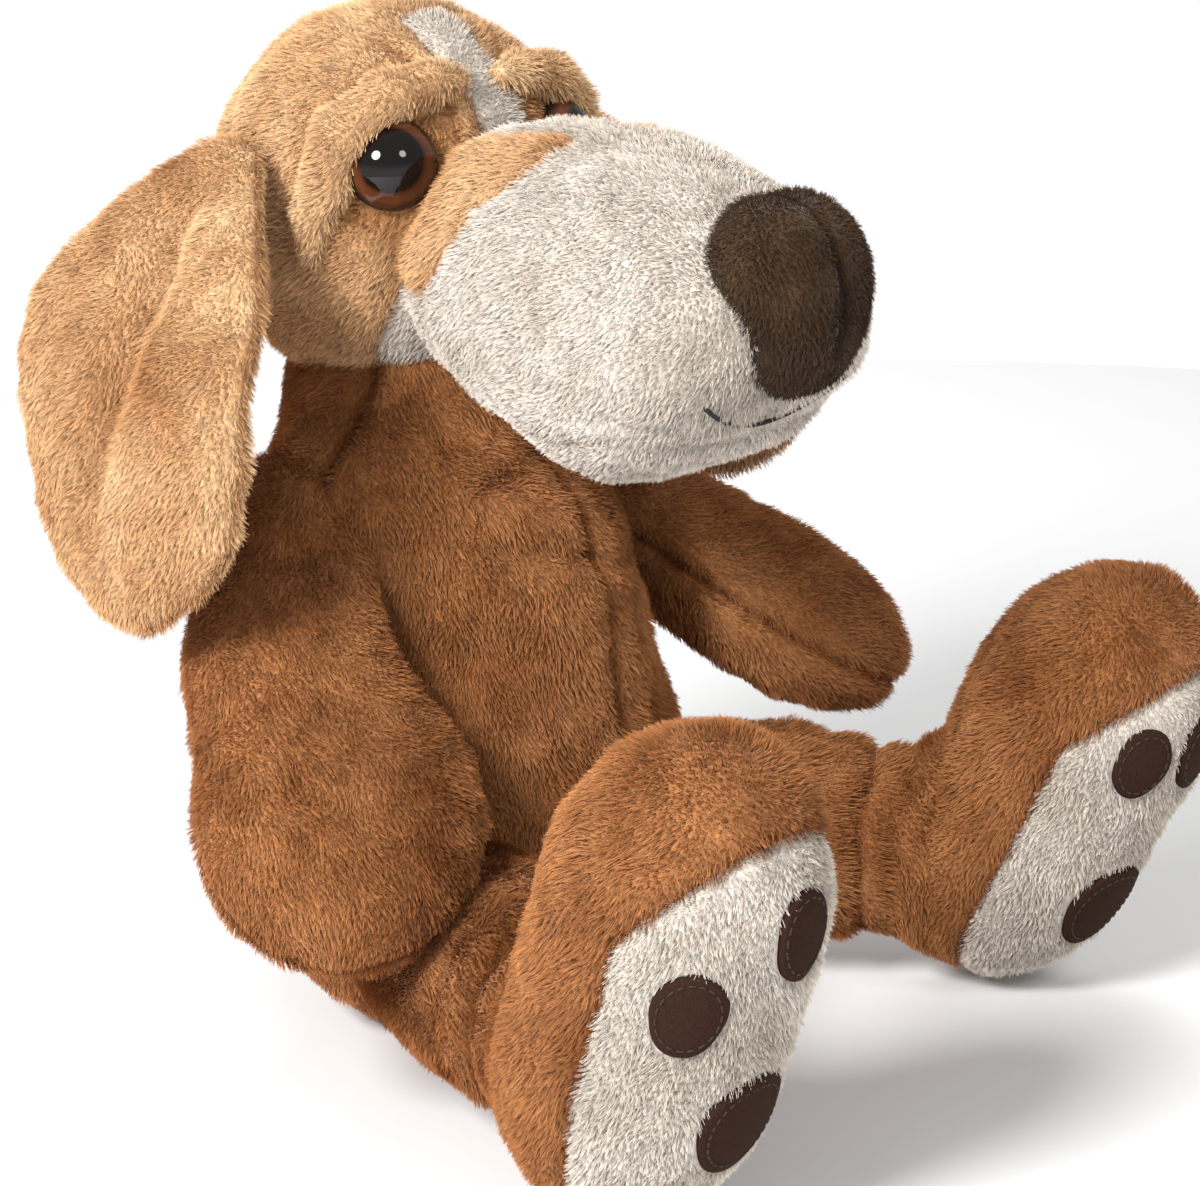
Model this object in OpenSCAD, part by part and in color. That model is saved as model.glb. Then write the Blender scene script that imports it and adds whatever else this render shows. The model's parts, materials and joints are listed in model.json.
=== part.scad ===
// Sitting plush dog: sewn fabric panels over stuffing, a turning head on a
// neck ball, drooping ears, swinging arms, splaying legs, feet and a tail.
// The dog faces -Y. Its left side is +X. The seat rests on Z = 0.

/* [Torso] */
// Width of the belly
belly_w = 134; // [126:1:140]
// Depth of the belly, front to back
belly_d = 126; // [120:1:132]
// Height of the egg that shapes the belly
belly_h = 152; // [146:1:158]
// Width of the chest
chest_w = 90; // [88:1:92]
// Depth of the chest, front to back
chest_d = 104; // [98:1:108]
// Height of the egg that shapes the chest
chest_h = 108; // [104:1:110]
// Height of the middle of the chest above the floor
chest_z = 126; // [122:1:128]
// Thickness of the plush fabric
skin_t = 2; // [1.5:0.1:2.5]

/* [Head] */
// Width of the head ball
head_w = 104; // [100:1:108]
// Depth of the head ball
head_d = 96; // [92:1:100]
// Height of the head ball
head_h = 110; // [106:1:112]
// How far the head is turned to the dog's right at rest, in degrees
head_turn = 10; // [0:1:15]
// Width of the muzzle
muzzle_w = 92; // [88:1:96]
// Length of the egg that shapes the muzzle
muzzle_l = 148; // [142:1:152]
// Height of the muzzle
muzzle_h = 86; // [82:1:90]
// Downward slope of the muzzle, in degrees
muzzle_tilt = 11; // [8:1:14]
// Width of the nose
nose_w = 45; // [41:1:48]
// Height of the nose
nose_h = 51; // [47:1:54]
// Radius of the visible dome of each eye
eye_r = 12.7; // [11.5:0.1:13.5]
// Height that the eye dome stands out of the face
eye_h = 9; // [7:0.5:10]

/* [Ears] */
// Length of each ear
ear_l = 140; // [132:1:144]
// Width of each ear
ear_w = 90; // [80:1:92]
// Thickness of each ear at its middle
ear_t = 18; // [14:1:20]
// How far the ears hang outward, in degrees
ear_out = 28; // [27:1:31]

/* [Arms] */
// Length from the shoulder to the tip of the hand
arm_l = 126; // [120:1:128]
// Width of the hand
hand_w = 68; // [60:1:70]
// Thickness of the hand
hand_t = 44; // [40:1:46]
// How far the arms point outward, in degrees
arm_out = 35; // [34:1:37]
// How far the left arm is swung forward, in degrees
arm_left_forward = 51; // [44:1:54]
// How far the right arm is swung forward, in degrees
arm_right_forward = 28; // [24:1:32]

/* [Legs and feet] */
// Distance from the hip to the ankle
leg_l = 104; // [102:1:106]
// Thickness of the leg
leg_w = 60; // [58:1:60]
// How far the legs point outward, in degrees
leg_splay = 22.6; // [21:0.1:24]
// Height of the foot from heel to toe
foot_l = 142; // [138:1:143]
// Width of the foot
foot_w = 72; // [68:1:74]
// Thickness of the foot from its back to its sole
foot_t = 73; // [68:1:74]
// Forward lean of the left foot, in degrees
foot_left_lean = 27; // [24:1:30]
// Forward lean of the right foot, in degrees
foot_right_lean = 19; // [16:1:24]
// Radius of each round toe pad
toe_pad_r = 11.5; // [10:0.5:12]
// Radius of the heel pad
heel_pad_r = 16; // [14:0.5:17]

/* [Tail] */
// Length of the tail beyond its root
tail_l = 62; // [54:1:66]
// Thickness of the tail
tail_w = 22; // [20:1:23]

/* [Hidden] */
$fn = 64;

right = -1;            // sign of X on the dog's right
left = 1;              // sign of X on the dog's left
big = 1000;            // size of the blocks that cut the panels
seam = 0.1;            // half of the gap between two panels at a seam
socket_gap = 0.4;      // clearance of a stuffed ball in its socket
fill_t = skin_t + 0.2; // depth of the stuffing's surface under the fabric

belly_r = [belly_w, belly_d, belly_h] / 2;
belly_c = [0, 0, belly_h / 2 - 8];
chest_r = [chest_w, chest_d, chest_h] / 2;
chest_c = [0, -4, chest_z];
seat_panel_h = 13;     // height of the rim of the seat panel
bag_r = [34, 30, 17];
bag_c = [0, 14, 26];

neck_c = [0, 12, 182];
neck_r = 24;
shoulder = [54, 9, 152];
shoulder_r = 19;
hip = [48, -20, 48];
hip_r = 29;
leg_drop = 3;          // downward slope of the leg, in degrees
leg_swing = [-8, 2, 12, 22]; // splay angles at which the leg needs room in the torso
leg_room = 1;          // clearance of the leg in the torso
hollow_r = 40;         // radius of the hollow round each hip in the stuffing
hollow_at = 10;        // how far that hollow is in front of the hip
hollow_turn = 7;       // how far it is turned outward from the leg, in degrees
tail_root = [0, 64, 32];
tail_root_r = 11.5;
tail_r = [tail_w / 2, tail_l / 2 + 4, tail_w / 2];
tail_at = [0, tail_l / 2 - 4, 0];
tail_turn = 50;        // how far the tail curls to the dog's left, in degrees
tail_drop = 12;        // downward slope of the tail, in degrees
tail_mouth = 9;        // how far the open end of the tail's cover is behind its hinge

head_r = [head_w, head_d, head_h] / 2;
head_c = [0, 15, 240];
muzzle_r = [muzzle_w, muzzle_l, muzzle_h] / 2;
muzzle_c = [0, -78, 222];
nose_r = [nose_w / 2, 19, nose_h / 2];
nose_c = [0, -137.5, 231];
head_back_y = 35;      // where the back panel of the head begins
chin_panel_z = 212;    // top edge of the pale panel under the head
gusset_y = 18;         // where the centre panels end over the crown
band_w = 13;           // width of the tan band round the back of the muzzle
muzzle_chin_z = 192;   // top edge of the chin under the jowls
stitch_at = [0, -149.1, 201];
stitch_l = 12;
stitch_r = 0.8;

eye_c = [30.5, -20, 255.5];
eye_normal = [0.6, -0.75, 0.28];
eye_sphere_r = (pow(eye_r, 2) + pow(eye_h, 2)) / (2 * eye_h);
eye_lift = 1.2;        // height of the back of the eye above eye_c
eye_ball_z = eye_lift + eye_h - eye_sphere_r;
shank_r = 2.5;
shank_l = 13;
washer_r = 8.5;
washer_t = 1.5;
lid_gap = 0.4;
lid_t = 3.6;           // thickness of the padded eyelid

ear_r = [ear_t, ear_w, ear_l] / 2;
ear_c = [91.7, 16.2, 204];
ear_root = [53, 16, 263];
ear_root_r = [6, 20, 6];

upper_arm_r = [19, 27, 42];
upper_arm_c = [0, 6, -40];
hand_r = [hand_t / 2, hand_w / 2, 42];
hand_z = 42 - arm_l;
arm_twist = 40;        // turn of the flat of the hand, in degrees

ankle_r = 28;
leg_r = [leg_w / 2, leg_w / 2, leg_l / 2 + 28];
ankle = hip + leg_l * [sin(leg_splay) * cos(leg_drop), -cos(leg_splay) * cos(leg_drop), -sin(leg_drop)];
socket_r = 35;         // radius of the foot's socket
socket_back = 6;       // how far the middle of that socket is behind the ankle
foot_r = [foot_w, foot_t, foot_l] / 2;
foot_at = [6.5, -13.5, 35.5]; // from the ankle to the middle of an upright foot
foot_turn = 5;         // outward turn of the foot, in degrees
sole_depth = 6;        // how far the sole's edge is in front of the middle of the foot
pad_t = 1.2;           // thickness of the felt pads
toe_pad_at = [[21, 13], [-9, 26]]; // places of the toe pads, outward and up the foot
heel_pad_at = [-1, -27];

// An egg: an ellipsoid with the radii r and the centre c.
module egg(r, c = [0, 0, 0]) {
    translate(c) scale(r / r[0]) sphere(r = r[0]);
}

// The same egg with the poles of its surface on Y.
module long_egg(r, c = [0, 0, 0]) {
    translate(c) scale(r / r[0]) rotate([90, 0, 0]) sphere(r = r[0]);
}

// The half of space on the side s of a plane across X, Y or Z.
module block_x(s, at = 0) {
    translate([at + s * big / 2, 0, 0]) cube(big, center = true);
}

module block_y(s, at = 0) {
    translate([0, at + s * big / 2, 0]) cube(big, center = true);
}

module block_z(s, at = 0) {
    translate([0, 0, at + s * big / 2]) cube(big, center = true);
}

function shrink(r, t) = r - [t, t, t];
function on_side(p, s) = [s * p[0], p[1], p[2]];

// ---- Torso ----

// The outer shape of the torso, shrunk by t, with its flat seat.
module torso_form(t = 0) {
    intersection() {
        union() {
            egg(shrink(belly_r, t), belly_c);
            egg(shrink(chest_r, t), chest_c);
        }
        block_z(1, t);
    }
}

// The room that the neck, arms and tail take out of the torso.
module torso_sockets() {
    translate(neck_c) sphere(r = neck_r + socket_gap);
    translate(tail_root) sphere(r = tail_root_r + socket_gap);
    for (s = [right, left])
        translate(on_side(shoulder, s)) sphere(r = shoulder_r + socket_gap);
}

// The way of the legs through the torso's fabric as they splay.
module leg_openings() {
    for (s = [right, left]) translate(on_side(hip, s)) {
        sphere(r = hip_r + socket_gap);
        for (swing = leg_swing)
            rotate([0, 0, s * (leg_splay + swing)]) rotate([90 + leg_drop, 0, 0])
                cylinder(h = leg_l, r = leg_w / 2 + leg_room);
    }
}

// The hollows that the legs press into the stuffing.
module leg_hollows() {
    for (s = [right, left])
        translate(on_side(hip, s)) rotate([0, 0, s * (leg_splay + hollow_turn)])
            translate([0, -hollow_at, 0]) sphere(r = hollow_r);
}

module torso_skin() {
    difference() {
        torso_form();
        torso_form(skin_t);
        torso_sockets();
        leg_openings();
    }
}

// One quarter of the torso's fabric, from its seams to the seat panel.
module torso_quarter(side, facing) {
    intersection() {
        torso_skin();
        block_x(side, side * seam);
        block_y(facing, facing * seam);
        block_z(1, seat_panel_h + seam);
    }
}

module torso_front_right() { color("peru") torso_quarter(right, -1); }
module torso_front_left() { color("peru") mirror([1, 0, 0]) torso_quarter(right, -1); }
module torso_back_right() { color("peru") torso_quarter(right, 1); }
module torso_back_left() { color("peru") torso_quarter(left, 1); }

module seat_panel() {
    color("sienna") intersection() {
        torso_skin();
        block_z(-1, seat_panel_h - seam);
    }
}

module torso_stuffing() {
    color("white") difference() {
        torso_form(fill_t);
        torso_sockets();
        leg_hollows();
        egg(bag_r + [0.2, 0.2, 0.2], bag_c);
    }
}

// The bag of beads that weighs the seat down.
module bean_bag() { color("lightgray") egg(bag_r, bag_c); }

module neck_stuffing() { color("white") translate(neck_c) sphere(r = neck_r); }

// ---- Head ----

// Turns the head and all that is on it to its rest position.
module head_place() {
    translate(neck_c) rotate([0, 0, -head_turn]) translate(-neck_c) children();
}

module head_egg(t = 0) { egg(shrink(head_r, t), head_c); }

module muzzle_egg(t = 0) {
    translate(muzzle_c) rotate([muzzle_tilt, 0, 0]) long_egg(shrink(muzzle_r, t));
}

module nose_egg(t = 0) { long_egg(shrink(nose_r, t), nose_c); }

// Points Z of what it holds along the way that an eye looks.
module eye_place(s) {
    translate(on_side(eye_c, s))
        rotate([0, acos(eye_normal[2] / norm(eye_normal)), atan2(eye_normal[1], s * eye_normal[0])])
            children();
}

// The sockets in the head's fabric and stuffing for the neck and the ear roots.
module head_sockets() {
    translate(neck_c) sphere(r = neck_r + socket_gap);
    for (s = [right, left]) {
        egg(ear_root_r + [1, 1, 1] * socket_gap, on_side(ear_root, s));
        eye_place(s) translate([0, 0, -shank_l]) cylinder(h = 2 * shank_l, r = shank_r + 0.1);
    }
}

module head_skin() {
    difference() {
        head_egg();
        head_egg(skin_t);
        muzzle_egg(-seam);
        head_sockets();
    }
}

// A strip over the forehead, narrow above the muzzle and wide at the crown.
module forehead_strip(low_w, high_w, low_z = 236, high_z = 300) {
    intersection() {
        rotate([90, 0, 0]) linear_extrude(height = big, center = true)
            polygon([[-low_w, low_z], [low_w, low_z], [high_w, high_z], [-high_w, high_z]]);
        block_y(-1, gusset_y);
    }
}

module head_side(s) {
    difference() {
        intersection() {
            head_skin();
            block_x(s, s * seam);
            block_y(-1, head_back_y - seam);
            block_z(1, chin_panel_z + seam);
        }
        forehead_strip(20 + seam, 25 + seam);
    }
}

module head_gusset(s) {
    difference() {
        intersection() {
            head_skin();
            forehead_strip(20, 25, 237, 299);
            block_x(s);
        }
        forehead_strip(8 + seam, 13 + seam);
    }
}

module head_side_right() { color("burlywood") head_place() mirror([1, 0, 0]) head_side(left); }
module head_side_left() { color("burlywood") head_place() head_side(left); }
module head_gusset_right() { color("tan") head_place() head_gusset(right); }
module head_gusset_left() { color("tan") head_place() head_gusset(left); }

module head_blaze() {
    color("ivory") head_place() intersection() {
        head_skin();
        forehead_strip(8, 13, 237, 299);
    }
}

module head_back() {
    color("burlywood") head_place() intersection() {
        head_skin();
        block_y(1, head_back_y + seam);
    }
}

module chin_panel() {
    color("ivory") head_place() intersection() {
        head_skin();
        block_y(-1, head_back_y - seam);
        block_z(-1, chin_panel_z - seam);
    }
}

module head_stuffing() {
    color("white") head_place() difference() {
        head_egg(fill_t);
        head_sockets();
        for (s = [right, left])
            eye_place(s) translate([0, 0, -shank_l - 1]) cylinder(h = 50, r = washer_r + 0.5);
    }
}

// ---- Muzzle, mouth and nose ----

module muzzle_skin() {
    difference() {
        muzzle_egg();
        muzzle_egg(skin_t);
        head_egg();
    }
}

module muzzle_band(s) {
    difference() {
        intersection() {
            muzzle_skin();
            head_egg(-band_w);
            block_x(s, s * seam);
        }
        eye_place(s) translate([0, 0, eye_ball_z]) sphere(r = eye_sphere_r + seam);
    }
}

module muzzle_side(s) {
    difference() {
        intersection() {
            muzzle_skin();
            block_x(s, s * seam);
            block_z(1, muzzle_chin_z + seam);
        }
        head_egg(-band_w - seam);
    }
}

module muzzle_band_right() { color("tan") head_place() muzzle_band(right); }
module muzzle_band_left() { color("tan") head_place() muzzle_band(left); }
module muzzle_right() { color("ivory") head_place() muzzle_side(right); }
module muzzle_left() { color("ivory") head_place() muzzle_side(left); }

module muzzle_chin() {
    color("ivory") head_place() difference() {
        intersection() {
            muzzle_skin();
            block_z(-1, muzzle_chin_z - seam);
        }
        head_egg(-band_w - seam);
    }
}

module muzzle_stuffing() {
    color("white") head_place() difference() {
        muzzle_egg(fill_t);
        head_egg(0.2);
    }
}

// The short black thread of the mouth, on the front of the muzzle.
module mouth_stitch() {
    color("black") head_place() translate(stitch_at) rotate([0, 90, 0])
        cylinder(h = stitch_l, r = stitch_r, center = true);
}

module nose_half(s) {
    difference() {
        intersection() {
            difference() {
                nose_egg();
                nose_egg(skin_t);
            }
            block_x(s, s * seam);
        }
        muzzle_egg(-seam);
    }
}

module nose_right() { color([0.22, 0.15, 0.1]) head_place() nose_half(right); }
module nose_left() { color([0.22, 0.15, 0.1]) head_place() nose_half(left); }

module nose_stuffing() {
    color("white") head_place() difference() {
        nose_egg(fill_t);
        muzzle_egg(-seam);
    }
}

// ---- Eyes ----

// A glossy dome with the shank that goes through the fabric.
module eye(s) {
    eye_place(s) union() {
        intersection() {
            translate([0, 0, eye_ball_z]) sphere(r = eye_sphere_r);
            block_z(1, eye_lift);
        }
        translate([0, 0, -shank_l]) cylinder(h = shank_l + eye_lift + 1, r = shank_r);
    }
}

// The washer that locks the shank behind the fabric.
module eye_washer(s) {
    eye_place(s) translate([0, 0, -5.5]) difference() {
        cylinder(h = washer_t, r = washer_r);
        translate([0, 0, -1]) cylinder(h = washer_t + 2, r = shank_r + 0.05);
    }
}

// A padded fold that covers the top of the eye.
module eyelid(s) {
    difference() {
        eye_place(s) translate([0, 0, eye_ball_z]) difference() {
            sphere(r = eye_sphere_r + lid_gap + lid_t);
            sphere(r = eye_sphere_r + lid_gap);
        }
        head_egg(-seam);
        block_z(-1, eye_c[2] + 7);
    }
}

module eye_right() { color("black") head_place() eye(right); }
module eye_left() { color("black") head_place() eye(left); }
module eye_washer_right() { color("gainsboro") head_place() eye_washer(right); }
module eye_washer_left() { color("gainsboro") head_place() eye_washer(left); }
module eyelid_right() { color("burlywood") head_place() eyelid(right); }
module eyelid_left() { color("burlywood") head_place() eyelid(left); }

// ---- Ears ----

// One of the two fabric layers of an ear: face is 1 outside and -1 inside.
module ear_layer(s, face) {
    intersection() {
        union() {
            translate(on_side(ear_c, s)) rotate([0, -s * ear_out, 0]) egg(ear_r);
            egg(ear_root_r, on_side(ear_root, s));
        }
        translate(on_side(ear_c, s)) rotate([0, -s * ear_out, 0]) block_x(s * face, s * face * seam);
    }
}

module ear_right_outer() { color("burlywood") head_place() ear_layer(right, 1); }
module ear_right_inner() { color("tan") head_place() ear_layer(right, -1); }
module ear_left_outer() { color("burlywood") head_place() ear_layer(left, 1); }
module ear_left_inner() { color("tan") head_place() ear_layer(left, -1); }

// ---- Arms ----

// Puts an arm that hangs down from the origin in its place at the shoulder.
module arm_place(s, forward) {
    translate(on_side(shoulder, s)) rotate([-forward, -s * arm_out, 0]) rotate([0, 0, -s * arm_twist])
        children();
}

module arm_form(t = 0) {
    sphere(r = shoulder_r - t);
    egg(shrink(upper_arm_r, t), upper_arm_c);
    egg(shrink(hand_r, t), [0, 0, hand_z]);
}

// One of the two fabric panels of an arm: face is 1 outside and -1 inside.
module arm_panel(s, face) {
    intersection() {
        difference() {
            arm_form();
            arm_form(skin_t);
        }
        block_x(s * face, s * face * seam);
    }
}

module arm_right_outer() { color("peru") arm_place(right, arm_right_forward) arm_panel(right, 1); }
module arm_right_inner() { color("peru") arm_place(right, arm_right_forward) arm_panel(right, -1); }
module arm_left_outer() { color("peru") arm_place(left, arm_left_forward) arm_panel(left, 1); }
module arm_left_inner() { color("peru") arm_place(left, arm_left_forward) arm_panel(left, -1); }

module arm_right_stuffing() {
    color("white") arm_place(right, arm_right_forward) arm_form(fill_t);
}

module arm_left_stuffing() {
    color("white") arm_place(left, arm_left_forward) arm_form(fill_t);
}

// ---- Legs ----

// Puts a leg that hangs down from the origin in its place at the hip.
module leg_place(s) {
    translate(on_side(hip, s)) rotate([0, 0, s * leg_splay]) rotate([-90 + leg_drop, 0, 0]) children();
}

module leg_form(t = 0) {
    sphere(r = hip_r - t);
    egg(shrink(leg_r, t), [0, 0, -leg_l / 2]);
    translate([0, 0, -leg_l]) sphere(r = ankle_r - t);
}

// One of the two fabric panels of a leg: face is 1 outside and -1 inside.
module leg_panel(s, face) {
    intersection() {
        difference() {
            leg_form();
            leg_form(skin_t);
        }
        block_x(s * face, s * face * seam);
    }
}

module leg_right_outer() { color("sienna") leg_place(right) leg_panel(right, 1); }
module leg_right_inner() { color("sienna") leg_place(right) leg_panel(right, -1); }
module leg_left_outer() { color("sienna") leg_place(left) leg_panel(left, 1); }
module leg_left_inner() { color("sienna") leg_place(left) leg_panel(left, -1); }
module leg_right_stuffing() { color("white") leg_place(right) leg_form(fill_t); }
module leg_left_stuffing() { color("white") leg_place(left) leg_form(fill_t); }

// ---- Feet ----

// Puts an upright foot in its place at the ankle.
module foot_place(s) {
    translate(on_side(ankle, s))
        rotate([s == left ? foot_left_lean : foot_right_lean, 0, s * foot_turn])
            translate(on_side(foot_at, s)) children();
}

module foot_egg(t = 0) { long_egg(shrink(foot_r, t)); }

// The socket for the end of the leg, which also leaves room for the foot to bend.
module ankle_socket(s) {
    translate(on_side(ankle, s)) rotate([0, 0, s * leg_splay]) translate([0, socket_back, 0])
        sphere(r = socket_r);
}

// All that lies in front of the sole's edge.
module sole_side(depth) { block_y(-1, -depth); }

module foot_skin(s) {
    difference() {
        foot_place(s) difference() {
            foot_egg();
            foot_egg(skin_t);
        }
        ankle_socket(s);
    }
}

module foot_upper(s) {
    difference() {
        foot_skin(s);
        foot_place(s) sole_side(sole_depth - seam);
    }
}

module foot_sole(s) {
    intersection() {
        foot_skin(s);
        foot_place(s) sole_side(sole_depth + seam);
    }
}

// A round felt pad on the sole, at x across and z up the foot.
module felt_pad(r, x, z) {
    intersection() {
        difference() {
            foot_egg(-pad_t);
            foot_egg(-0.05);
        }
        translate([x, 0, z]) rotate([90, 0, 0]) cylinder(h = foot_t, r = r);
    }
}

module toe_pads(s) {
    foot_place(s) for (at = toe_pad_at) felt_pad(toe_pad_r, s * at[0], at[1]);
}

module heel_pad(s) {
    foot_place(s) felt_pad(heel_pad_r, s * heel_pad_at[0], heel_pad_at[1]);
}

module foot_stuffing(s) {
    difference() {
        foot_place(s) long_egg(shrink(foot_r, fill_t));
        ankle_socket(s);
    }
}

module foot_right_upper() { color("peru") foot_upper(right); }
module foot_right_sole() { color("ivory") foot_sole(right); }
module foot_right_toe_pads() { color([0.25, 0.16, 0.12]) toe_pads(right); }
module foot_right_heel_pad() { color([0.25, 0.16, 0.12]) heel_pad(right); }
module foot_right_stuffing() { color("white") foot_stuffing(right); }
module foot_left_upper() { color("peru") foot_upper(left); }
module foot_left_sole() { color("ivory") foot_sole(left); }
module foot_left_toe_pads() { color([0.25, 0.16, 0.12]) toe_pads(left); }
module foot_left_heel_pad() { color([0.25, 0.16, 0.12]) heel_pad(left); }
module foot_left_stuffing() { color("white") foot_stuffing(left); }

// ---- Tail ----

// Points Y of what it holds along the tail, from its root.
module tail_place() {
    translate(tail_root) rotate([0, 0, -tail_turn]) rotate([-tail_drop, 0, 0]) children();
}

// A ball at the root and an egg that curls to the dog's left.
module tail_form(t = 0) {
    translate(tail_root) sphere(r = tail_root_r - t);
    tail_place() egg(shrink(tail_r, t), tail_at);
}

module tail_cover() {
    color("peru") difference() {
        tail_form();
        tail_form(skin_t);
        block_y(-1, tail_root[1] - tail_mouth);
    }
}

module tail_stuffing() { color("white") tail_place() long_egg(shrink(tail_r, fill_t), tail_at); }

torso_front_right();
torso_front_left();
torso_back_right();
torso_back_left();
seat_panel();
torso_stuffing();
bean_bag();
neck_stuffing();
head_side_right();
head_side_left();
head_gusset_right();
head_gusset_left();
head_blaze();
head_back();
chin_panel();
head_stuffing();
muzzle_band_right();
muzzle_band_left();
muzzle_right();
muzzle_left();
muzzle_chin();
muzzle_stuffing();
mouth_stitch();
nose_right();
nose_left();
nose_stuffing();
eye_right();
eye_left();
eye_washer_right();
eye_washer_left();
eyelid_right();
eyelid_left();
ear_right_outer();
ear_right_inner();
ear_left_outer();
ear_left_inner();
arm_right_outer();
arm_right_inner();
arm_right_stuffing();
arm_left_outer();
arm_left_inner();
arm_left_stuffing();
leg_right_outer();
leg_right_inner();
leg_right_stuffing();
leg_left_outer();
leg_left_inner();
leg_left_stuffing();
foot_right_upper();
foot_right_sole();
foot_right_toe_pads();
foot_right_heel_pad();
foot_right_stuffing();
foot_left_upper();
foot_left_sole();
foot_left_toe_pads();
foot_left_heel_pad();
foot_left_stuffing();
tail_cover();
tail_stuffing();
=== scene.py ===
"""Sitting plush dog: sewn pile panels, eyes, felt pads and threads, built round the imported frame."""
import json
import math

import bpy
import numpy as np
from mathutils import Matrix, Vector, kdtree, noise

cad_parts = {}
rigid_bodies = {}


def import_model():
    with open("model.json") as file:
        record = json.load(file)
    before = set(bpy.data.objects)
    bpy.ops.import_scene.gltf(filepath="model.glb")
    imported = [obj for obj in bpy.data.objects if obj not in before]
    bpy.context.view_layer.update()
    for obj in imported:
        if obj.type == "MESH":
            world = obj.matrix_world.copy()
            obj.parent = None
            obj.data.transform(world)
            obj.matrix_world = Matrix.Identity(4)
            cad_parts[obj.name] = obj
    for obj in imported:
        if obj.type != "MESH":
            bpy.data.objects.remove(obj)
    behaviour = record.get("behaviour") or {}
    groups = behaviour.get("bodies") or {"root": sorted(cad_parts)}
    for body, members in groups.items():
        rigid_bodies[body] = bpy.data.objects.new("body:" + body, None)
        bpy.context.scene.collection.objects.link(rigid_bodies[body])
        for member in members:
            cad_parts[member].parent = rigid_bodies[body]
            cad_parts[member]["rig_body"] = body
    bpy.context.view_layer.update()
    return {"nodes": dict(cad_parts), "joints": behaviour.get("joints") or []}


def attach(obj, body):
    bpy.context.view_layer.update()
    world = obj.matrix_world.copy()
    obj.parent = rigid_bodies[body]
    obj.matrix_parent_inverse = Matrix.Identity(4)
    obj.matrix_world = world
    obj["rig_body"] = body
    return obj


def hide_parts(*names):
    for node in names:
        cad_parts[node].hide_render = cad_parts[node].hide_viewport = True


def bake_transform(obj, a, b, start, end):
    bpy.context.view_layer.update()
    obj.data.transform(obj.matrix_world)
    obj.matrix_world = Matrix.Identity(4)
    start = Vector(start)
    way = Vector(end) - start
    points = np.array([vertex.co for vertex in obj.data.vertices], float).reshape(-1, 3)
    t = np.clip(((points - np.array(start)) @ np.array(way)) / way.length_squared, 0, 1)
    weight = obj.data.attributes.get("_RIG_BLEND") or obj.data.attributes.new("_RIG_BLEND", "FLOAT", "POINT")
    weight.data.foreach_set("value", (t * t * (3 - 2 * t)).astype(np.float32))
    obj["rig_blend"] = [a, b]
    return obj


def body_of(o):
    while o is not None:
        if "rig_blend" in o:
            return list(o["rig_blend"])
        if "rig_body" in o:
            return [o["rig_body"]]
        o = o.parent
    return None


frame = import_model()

MM = 0.001            # one millimetre in metres
BACKING = 1.6         # thickness of the plush's backing, mm
NET = 1.9             # size of the quads that make the panels, mm
FINE_NET = 1.5        # the same for the small pieces of the face, mm
BAND = 24.0           # width of the tan band round the muzzle, mm
SCENE = bpy.context.scene
RIGHT, LEFT = -1, 1   # sign of X on each side of the dog
SIDES = {"right": RIGHT, "left": LEFT}
JOINTS = {j["name"]: j for j in frame["joints"]}


# ---- Places taken from the frame ----

def unit(v):
    v = np.asarray(v, float)
    return v / np.linalg.norm(v)


def lengths(vectors):
    return np.linalg.norm(vectors, axis=1)


def node_points(*names):
    """The vertices of some CAD nodes, in millimetres."""
    return np.concatenate([[v.co for v in frame["nodes"][n].data.vertices] for n in names]) / MM


def joint_point(name):
    return np.array(JOINTS[name]["pos_m"]) / MM


class Space:
    """A local frame in millimetres: an origin and the unit axes x, y and z as rows."""

    def __init__(self, origin, x, z, mirrored=False):
        z = unit(z)
        x = unit(np.asarray(x, float) - np.dot(x, z) * z)
        y = np.cross(z, x) * (-1 if mirrored else 1)
        self.origin, self.axes = np.asarray(origin, float), np.array([x, y, z])
        self.mirrored = mirrored

    def local(self, p):
        return (p - self.origin) @ self.axes.T

    def world(self, q):
        return np.asarray(q, float) @ self.axes + self.origin

    def turn(self, v):
        return np.asarray(v, float) @ self.axes

    def box(self, *nodes):
        q = self.local(node_points(*nodes))
        return q.min(0), q.max(0)


WORLD = Space((0, 0, 0), (1, 0, 0), (0, 0, 1))


def head_space():
    nod = JOINTS["head_nod"]
    return Space(joint_point("head_nod"), nod["axis"], (0, 0, 1))


def far_end(origin, *nodes):
    """The mean of the nodes' vertices that are farthest from the origin."""
    points = node_points(*nodes)
    reach = lengths(points - origin)
    return points[np.argsort(reach)[-24:]].mean(0)


def limb_space(side, joint, outer, inner):
    """Origin at the joint, -z along the limb to its far end, x out of its outer panel."""
    origin = joint_point(joint)
    out = node_points(outer).mean(0) - node_points(inner).mean(0)
    return Space(origin, out, origin - far_end(origin, outer, inner), mirrored=SIDES[side] == RIGHT)


def leg_space(side):
    hip, ankle = joint_point(f"leg_{side}_splay"), joint_point(f"foot_{side}_bend")
    out = np.array([SIDES[side], 0, 0])
    return Space(hip, out, hip - ankle, mirrored=SIDES[side] == RIGHT)


def foot_space(side):
    """Origin in the middle of the foot, z up to the toes, -y out of the sole."""
    points = node_points(f"foot_{side}_sole")
    spread = np.linalg.svd(points - points.mean(0), full_matrices=False)[2]
    up = spread[0] * np.sign(spread[0][2])
    out = spread[1] * np.sign(spread[1][0] * SIDES[side])
    space = Space(points.mean(0), out, up, mirrored=SIDES[side] == RIGHT)
    low, high = space.box(f"foot_{side}_sole")
    middle = (low + high) / 2
    middle[1] = low[1] + (high[0] - low[0]) / 2
    return Space(space.world(middle), out, up, mirrored=space.mirrored)


# ---- Forms: functions that are negative inside ----

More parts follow.
